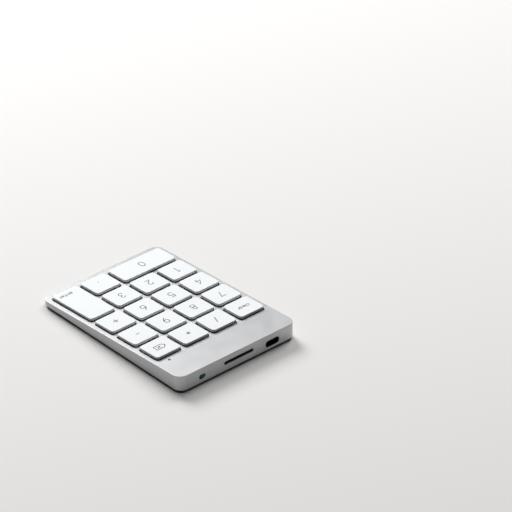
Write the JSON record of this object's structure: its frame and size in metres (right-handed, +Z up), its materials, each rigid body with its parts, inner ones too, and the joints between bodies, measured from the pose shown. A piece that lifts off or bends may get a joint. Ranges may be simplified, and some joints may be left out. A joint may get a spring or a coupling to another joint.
{
  "type": "numeric keypad",
  "caption": "Slim wedge-shaped wireless numeric keypad with an aluminium shell, white scissor keys, USB-C socket and slide switch; every key travels.",
  "frame": {"origin": "centre of the footprint, on the desk under the rubber feet", "axes": "+X to the user's right, +Y away from the user towards the port edge, +Z up"},
  "size_m": [0.0798, 0.1103, 0.0106],
  "materials": {
    "aluminium_shell": "fine bead-blasted, silver anodised",
    "keycap_white": "satin white with light grey legends",
    "base_plastic": "fine moulded texture, near black",
    "foot_rubber": "matt, dark grey",
    "screw_steel": "zinc-plated",
    "plate_steel": "stamped sheet, blackened",
    "membrane_film": "dark polyester film",
    "dome_silicone": "dark silicone",
    "board": "green solder mask",
    "battery_wrap": "silver foil pouch",
    "socket_steel": "drawn steel, blackened",
    "black_plastic": "moulded, black",
    "green_indicator": "green print",
    "light_pipe": "smoked, moulded",
    "scissor_plastic": "moulded acetal, dark",
    "wire_steel": "spring wire"
  },
  "bodies": {
    "case": {"top_case": "aluminium_shell", "bottom_cover": "base_plastic", "key_support_plate": "plate_steel", "membrane_sheet": "membrane_film", "dome_sheet": "dome_silicone", "main_pcb": "board", "battery": "battery_wrap", "usb_c_shell": "socket_steel", "usb_c_tongue": "black_plastic", "antenna_window": "black_plastic", "switch_body": "black_plastic", "switch_indicator": "green_indicator", "led_light_pipe": "light_pipe", "foot_front_left": "foot_rubber", "foot_front_right": "foot_rubber", "foot_back_left": "foot_rubber", "foot_back_right": "foot_rubber", "screw_front_left": "screw_steel", "screw_front_right": "screw_steel", "screw_back_left": "screw_steel", "screw_back_right": "screw_steel"},
    "key_clear": {"keycap_clear": "keycap_white"},
    "link_clear": {"scissor_clear": "scissor_plastic"},
    "key_divide": {"keycap_divide": "keycap_white"},
    "link_divide": {"scissor_divide": "scissor_plastic"},
    "key_multiply": {"keycap_multiply": "keycap_white"},
    "link_multiply": {"scissor_multiply": "scissor_plastic"},
    "key_backspace": {"keycap_backspace": "keycap_white"},
    "link_backspace": {"scissor_backspace": "scissor_plastic"},
    "key_7": {"keycap_7": "keycap_white"},
    "link_7": {"scissor_7": "scissor_plastic"},
    "key_8": {"keycap_8": "keycap_white"},
    "link_8": {"scissor_8": "scissor_plastic"},
    "key_9": {"keycap_9": "keycap_white"},
    "link_9": {"scissor_9": "scissor_plastic"},
    "key_minus": {"keycap_minus": "keycap_white"},
    "link_minus": {"scissor_minus": "scissor_plastic"},
    "key_4": {"keycap_4": "keycap_white"},
    "link_4": {"scissor_4": "scissor_plastic"},
    "key_5": {"keycap_5": "keycap_white"},
    "link_5": {"scissor_5": "scissor_plastic"},
    "key_6": {"keycap_6": "keycap_white"},
    "link_6": {"scissor_6": "scissor_plastic"},
    "key_plus": {"keycap_plus": "keycap_white"},
    "link_plus": {"scissor_plus": "scissor_plastic"},
    "key_1": {"keycap_1": "keycap_white"},
    "link_1": {"scissor_1": "scissor_plastic"},
    "key_2": {"keycap_2": "keycap_white"},
    "link_2": {"scissor_2": "scissor_plastic"},
    "key_3": {"keycap_3": "keycap_white"},
    "link_3": {"scissor_3": "scissor_plastic"},
    "key_enter": {"keycap_enter": "keycap_white"},
    "link_enter": {"scissor_enter": "scissor_plastic"},
    "key_0": {"keycap_0": "keycap_white"},
    "link_0": {"scissor_0": "scissor_plastic"},
    "key_decimal": {"keycap_decimal": "keycap_white"},
    "link_decimal": {"scissor_decimal": "scissor_plastic"},
    "wire_0": {"stabiliser_0": "wire_steel"},
    "wire_enter": {"stabiliser_enter": "wire_steel"},
    "switch": {"switch_knob": "black_plastic"}
  },
  "joints": [
    {"name": "press_clear", "type": "slide", "parent": "case", "child": "key_clear", "axis": [0, 0.0523, -0.9986], "range_m": [0, 0.0012], "stiffness_N_per_m": 400, "springref_m": -0.0004, "deforming": ["dome_sheet"]},
    {"name": "fold_clear", "type": "hinge", "parent": "case", "child": "link_clear", "pos_m": [-0.0285, 0.02303, 0.00711], "axis": [1, 0, 0], "range_deg": [-8.72, 0]},
    {"name": "press_divide", "type": "slide", "parent": "case", "child": "key_divide", "axis": [0, 0.0523, -0.9986], "range_m": [0, 0.0012], "stiffness_N_per_m": 400, "springref_m": -0.0004, "deforming": ["dome_sheet"]},
    {"name": "fold_divide", "type": "hinge", "parent": "case", "child": "link_divide", "pos_m": [-0.0095, 0.02303, 0.00711], "axis": [1, 0, 0], "range_deg": [-8.72, 0]},
    {"name": "press_multiply", "type": "slide", "parent": "case", "child": "key_multiply", "axis": [0, 0.0523, -0.9986], "range_m": [0, 0.0012], "stiffness_N_per_m": 400, "springref_m": -0.0004, "deforming": ["dome_sheet"]},
    {"name": "fold_multiply", "type": "hinge", "parent": "case", "child": "link_multiply", "pos_m": [0.0095, 0.02303, 0.00711], "axis": [1, 0, 0], "range_deg": [-8.72, 0]},
    {"name": "press_backspace", "type": "slide", "parent": "case", "child": "key_backspace", "axis": [0, 0.0523, -0.9986], "range_m": [0, 0.0012], "stiffness_N_per_m": 400, "springref_m": -0.0004, "deforming": ["dome_sheet"]},
    {"name": "fold_backspace", "type": "hinge", "parent": "case", "child": "link_backspace", "pos_m": [0.0285, 0.02303, 0.00711], "axis": [1, 0, 0], "range_deg": [-8.72, 0]},
    {"name": "press_7", "type": "slide", "parent": "case", "child": "key_7", "axis": [0, 0.0523, -0.9986], "range_m": [0, 0.0012], "stiffness_N_per_m": 400, "springref_m": -0.0004, "deforming": ["dome_sheet"]},
    {"name": "fold_7", "type": "hinge", "parent": "case", "child": "link_7", "pos_m": [-0.0285, 0.00556, 0.00619], "axis": [1, 0, 0], "range_deg": [-8.72, 0]},
    {"name": "press_8", "type": "slide", "parent": "case", "child": "key_8", "axis": [0, 0.0523, -0.9986], "range_m": [0, 0.0012], "stiffness_N_per_m": 400, "springref_m": -0.0004, "deforming": ["dome_sheet"]},
    {"name": "fold_8", "type": "hinge", "parent": "case", "child": "link_8", "pos_m": [-0.0095, 0.00556, 0.00619], "axis": [1, 0, 0], "range_deg": [-8.72, 0]},
    {"name": "press_9", "type": "slide", "parent": "case", "child": "key_9", "axis": [0, 0.0523, -0.9986], "range_m": [0, 0.0012], "stiffness_N_per_m": 400, "springref_m": -0.0004, "deforming": ["dome_sheet"]},
    {"name": "fold_9", "type": "hinge", "parent": "case", "child": "link_9", "pos_m": [0.0095, 0.00556, 0.00619], "axis": [1, 0, 0], "range_deg": [-8.72, 0]},
    {"name": "press_minus", "type": "slide", "parent": "case", "child": "key_minus", "axis": [0, 0.0523, -0.9986], "range_m": [0, 0.0012], "stiffness_N_per_m": 400, "springref_m": -0.0004, "deforming": ["dome_sheet"]},
    {"name": "fold_minus", "type": "hinge", "parent": "case", "child": "link_minus", "pos_m": [0.0285, 0.00556, 0.00619], "axis": [1, 0, 0], "range_deg": [-8.72, 0]},
    {"name": "press_4", "type": "slide", "parent": "case", "child": "key_4", "axis": [0, 0.0523, -0.9986], "range_m": [0, 0.0012], "stiffness_N_per_m": 400, "springref_m": -0.0004, "deforming": ["dome_sheet"]},
    {"name": "fold_4", "type": "hinge", "parent": "case", "child": "link_4", "pos_m": [-0.0285, -0.01192, 0.00527], "axis": [1, 0, 0], "range_deg": [-8.72, 0]},
    {"name": "press_5", "type": "slide", "parent": "case", "child": "key_5", "axis": [0, 0.0523, -0.9986], "range_m": [0, 0.0012], "stiffness_N_per_m": 400, "springref_m": -0.0004, "deforming": ["dome_sheet"]},
    {"name": "fold_5", "type": "hinge", "parent": "case", "child": "link_5", "pos_m": [-0.0095, -0.01192, 0.00527], "axis": [1, 0, 0], "range_deg": [-8.72, 0]},
    {"name": "press_6", "type": "slide", "parent": "case", "child": "key_6", "axis": [0, 0.0523, -0.9986], "range_m": [0, 0.0012], "stiffness_N_per_m": 400, "springref_m": -0.0004, "deforming": ["dome_sheet"]},
    {"name": "fold_6", "type": "hinge", "parent": "case", "child": "link_6", "pos_m": [0.0095, -0.01192, 0.00527], "axis": [1, 0, 0], "range_deg": [-8.72, 0]},
    {"name": "press_plus", "type": "slide", "parent": "case", "child": "key_plus", "axis": [0, 0.0523, -0.9986], "range_m": [0, 0.0012], "stiffness_N_per_m": 400, "springref_m": -0.0004, "deforming": ["dome_sheet"]},
    {"name": "fold_plus", "type": "hinge", "parent": "case", "child": "link_plus", "pos_m": [0.0285, -0.01192, 0.00527], "axis": [1, 0, 0], "range_deg": [-8.72, 0]},
    {"name": "press_1", "type": "slide", "parent": "case", "child": "key_1", "axis": [0, 0.0523, -0.9986], "range_m": [0, 0.0012], "stiffness_N_per_m": 400, "springref_m": -0.0004, "deforming": ["dome_sheet"]},
    {"name": "fold_1", "type": "hinge", "parent": "case", "child": "link_1", "pos_m": [-0.0285, -0.0294, 0.00436], "axis": [1, 0, 0], "range_deg": [-8.72, 0]},
    {"name": "press_2", "type": "slide", "parent": "case", "child": "key_2", "axis": [0, 0.0523, -0.9986], "range_m": [0, 0.0012], "stiffness_N_per_m": 400, "springref_m": -0.0004, "deforming": ["dome_sheet"]},
    {"name": "fold_2", "type": "hinge", "parent": "case", "child": "link_2", "pos_m": [-0.0095, -0.0294, 0.00436], "axis": [1, 0, 0], "range_deg": [-8.72, 0]},
    {"name": "press_3", "type": "slide", "parent": "case", "child": "key_3", "axis": [0, 0.0523, -0.9986], "range_m": [0, 0.0012], "stiffness_N_per_m": 400, "springref_m": -0.0004, "deforming": ["dome_sheet"]},
    {"name": "fold_3", "type": "hinge", "parent": "case", "child": "link_3", "pos_m": [0.0095, -0.0294, 0.00436], "axis": [1, 0, 0], "range_deg": [-8.72, 0]},
    {"name": "press_enter", "type": "slide", "parent": "case", "child": "key_enter", "axis": [0, 0.0523, -0.9986], "range_m": [0, 0.0012], "stiffness_N_per_m": 400, "springref_m": -0.0004, "deforming": ["dome_sheet"]},
    {"name": "fold_enter", "type": "hinge", "parent": "case", "child": "link_enter", "pos_m": [0.0285, -0.03813, 0.0039], "axis": [1, 0, 0], "range_deg": [-8.72, 0]},
    {"name": "press_0", "type": "slide", "parent": "case", "child": "key_0", "axis": [0, 0.0523, -0.9986], "range_m": [0, 0.0012], "stiffness_N_per_m": 400, "springref_m": -0.0004, "deforming": ["dome_sheet"]},
    {"name": "fold_0", "type": "hinge", "parent": "case", "child": "link_0", "pos_m": [-0.019, -0.04687, 0.00344], "axis": [1, 0, 0], "range_deg": [-8.72, 0]},
    {"name": "press_decimal", "type": "slide", "parent": "case", "child": "key_decimal", "axis": [0, 0.0523, -0.9986], "range_m": [0, 0.0012], "stiffness_N_per_m": 400, "springref_m": -0.0004, "deforming": ["dome_sheet"]},
    {"name": "fold_decimal", "type": "hinge", "parent": "case", "child": "link_decimal", "pos_m": [0.0095, -0.04687, 0.00344], "axis": [1, 0, 0], "range_deg": [-8.72, 0]},
    {"name": "turn_wire_0", "type": "hinge", "parent": "case", "child": "wire_0", "pos_m": [-0.019, -0.04288, 0.00365], "axis": [1, 0, 0], "range_deg": [-12.54, 0]},
    {"name": "turn_wire_enter", "type": "hinge", "parent": "case", "child": "wire_enter", "pos_m": [0.0295, -0.03414, 0.00411], "axis": [0, -0.9986, -0.0523], "range_deg": [-12.54, 0]},
    {"name": "switch_slide", "type": "slide", "parent": "case", "child": "switch", "axis": [1, 0, 0], "range_m": [-0.0019, 0]}
  ],
  "couplings": [
    {"joint": "fold_clear", "follows": "press_clear", "rad_per_m": -126.11},
    {"joint": "fold_divide", "follows": "press_divide", "rad_per_m": -126.11},
    {"joint": "fold_multiply", "follows": "press_multiply", "rad_per_m": -126.11},
    {"joint": "fold_backspace", "follows": "press_backspace", "rad_per_m": -126.11},
    {"joint": "fold_7", "follows": "press_7", "rad_per_m": -126.11},
    {"joint": "fold_8", "follows": "press_8", "rad_per_m": -126.11},
    {"joint": "fold_9", "follows": "press_9", "rad_per_m": -126.11},
    {"joint": "fold_minus", "follows": "press_minus", "rad_per_m": -126.11},
    {"joint": "fold_4", "follows": "press_4", "rad_per_m": -126.11},
    {"joint": "fold_5", "follows": "press_5", "rad_per_m": -126.11},
    {"joint": "fold_6", "follows": "press_6", "rad_per_m": -126.11},
    {"joint": "fold_plus", "follows": "press_plus", "rad_per_m": -126.11},
    {"joint": "fold_1", "follows": "press_1", "rad_per_m": -126.11},
    {"joint": "fold_2", "follows": "press_2", "rad_per_m": -126.11},
    {"joint": "fold_3", "follows": "press_3", "rad_per_m": -126.11},
    {"joint": "fold_enter", "follows": "press_enter", "rad_per_m": -126.11},
    {"joint": "fold_0", "follows": "press_0", "rad_per_m": -126.11},
    {"joint": "fold_decimal", "follows": "press_decimal", "rad_per_m": -126.11},
    {"joint": "turn_wire_0", "follows": "press_0", "rad_per_m": -181.59},
    {"joint": "turn_wire_enter", "follows": "press_enter", "rad_per_m": -181.59}
  ]
}
